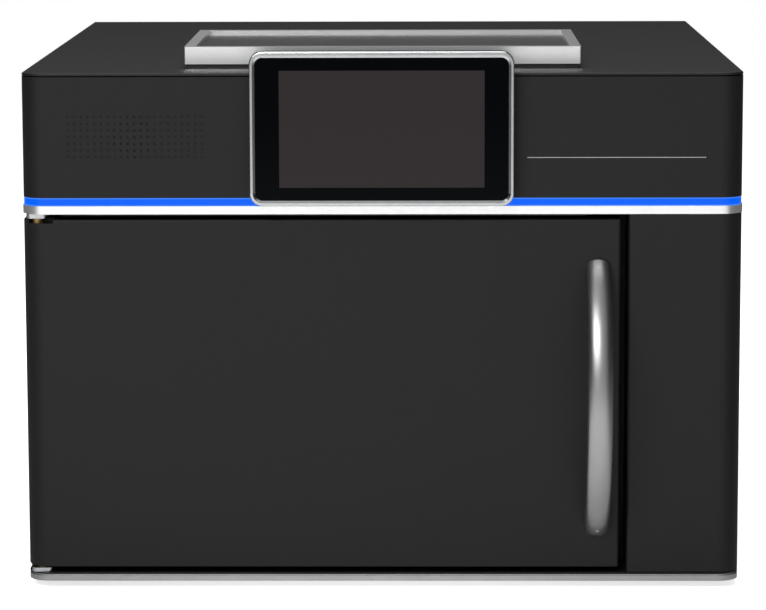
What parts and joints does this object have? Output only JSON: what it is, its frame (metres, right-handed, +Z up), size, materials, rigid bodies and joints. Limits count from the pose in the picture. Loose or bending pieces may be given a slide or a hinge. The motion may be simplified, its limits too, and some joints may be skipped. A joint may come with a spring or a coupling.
{
  "type": "muffle furnace",
  "caption": "Benchtop microwave muffle furnace with a side-hinged door, touch screen, cooling tray, rear exhaust collar and fans.",
  "frame": {"origin": "on the bench, under the middle of the whole furnace", "axes": "+Z up, the door faces -Y, +X to the right of a person facing the door"},
  "size_m": [0.5644, 0.699, 0.4241],
  "materials": {
    "black_paint": "fine-textured powder coat",
    "bright_trim": "satin anodised",
    "handle_silver": "satin nickel",
    "bare_steel": "bare",
    "zinc_screw": "zinc plated",
    "bronze": "sintered",
    "foot_rubber": "matt",
    "light_guide": "translucent blue",
    "fibre_board": "vacuum-formed ceramic fibre",
    "fibre_braid": "braided",
    "carbide": "silicon carbide",
    "white_ceramic": "matt",
    "probe": "oxidised",
    "tube_steel": "zinc plated",
    "fin_aluminium": "bare",
    "lamination": "varnished",
    "copper_wire": "enamelled",
    "circuit": "solder mask",
    "black_plastic": "fine texture",
    "rocker_plastic": "gloss",
    "bezel_metal": "bright edge",
    "cover_glass": "gloss",
    "screen": "gloss",
    "tray_stone": "glass ceramic",
    "guard_wire": "black"
  },
  "bodies": {
    "cabinet": {"left_side_panel": "black_paint", "right_side_panel": "black_paint", "right_front_panel": "black_paint", "upper_shell": "black_paint", "top_cover": "black_paint", "rear_panel": "black_paint", "chassis_pan": "black_paint", "mid_deck": "black_paint", "front_frame": "black_paint", "base_plate": "bright_trim", "waist_trim": "bright_trim", "hinge_arms": "bare_steel", "cavity_box": "bare_steel", "exhaust_duct": "bare_steel", "exhaust_collar": "bare_steel", "waveguide": "bare_steel", "tray_frame": "bare_steel", "panel_screws": "zinc_screw", "feet": "foot_rubber", "light_strip": "light_guide", "muffle_floor": "fibre_board", "muffle_roof": "fibre_board", "muffle_sides": "fibre_board", "muffle_back": "fibre_board", "heating_plates": "carbide", "hearth_plate": "white_ceramic", "flue_tube": "white_ceramic", "thermocouple": "probe", "magnetron": "tube_steel", "magnetron_fins": "fin_aluminium", "hv_capacitor": "fin_aluminium", "transformer_core": "lamination", "transformer_coils": "copper_wire", "control_board": "circuit", "lock_solenoid": "black_plastic", "interlock_switches": "black_plastic", "speaker": "black_plastic", "display_housing": "black_plastic", "fan_housings": "black_plastic", "power_inlet": "black_plastic", "port_block": "black_plastic", "tray_base": "black_plastic", "display_bezel": "bezel_metal", "display_glass": "cover_glass", "lcd_panel": "screen", "tray_plate": "tray_stone", "fan_guards": "guard_wire"},
    "door": {"door_skin": "black_paint", "door_inner_panel": "bare_steel", "door_core": "fibre_board", "door_plug": "fibre_board", "door_seal": "fibre_braid", "door_handle": "handle_silver", "handle_screws": "zinc_screw", "door_tongue": "bare_steel", "hinge_bushes": "bronze"},
    "lock_bolt": {"lock_bolt": "bare_steel"},
    "lower_fan": {"fan_rotor_lower": "black_plastic"},
    "upper_fan": {"fan_rotor_upper": "black_plastic"},
    "rocker": {"power_rocker": "rocker_plastic"}
  },
  "joints": [
    {"name": "door_hinge", "type": "hinge", "parent": "cabinet", "child": "door", "pos_m": [-0.269, -0.2845, 0.1549], "axis": [0, 0, -1], "range_deg": [0, 110]},
    {"name": "bolt_slide", "type": "slide", "parent": "cabinet", "child": "lock_bolt", "axis": [-1, 0, 0], "range_m": [0, 0.012], "stiffness_N_per_m": 150},
    {"name": "lower_fan_spin", "type": "hinge", "parent": "cabinet", "child": "lower_fan", "pos_m": [0.196, 0.3, 0.14], "axis": [0, 1, 0], "continuous": true},
    {"name": "upper_fan_spin", "type": "hinge", "parent": "cabinet", "child": "upper_fan", "pos_m": [0.196, 0.3, 0.226], "axis": [0, 1, 0], "continuous": true},
    {"name": "rocker_tilt", "type": "hinge", "parent": "cabinet", "child": "rocker", "pos_m": [0.02, 0.3155, 0.096], "axis": [-1, 0, 0], "range_deg": [0, 14]}
  ]
}
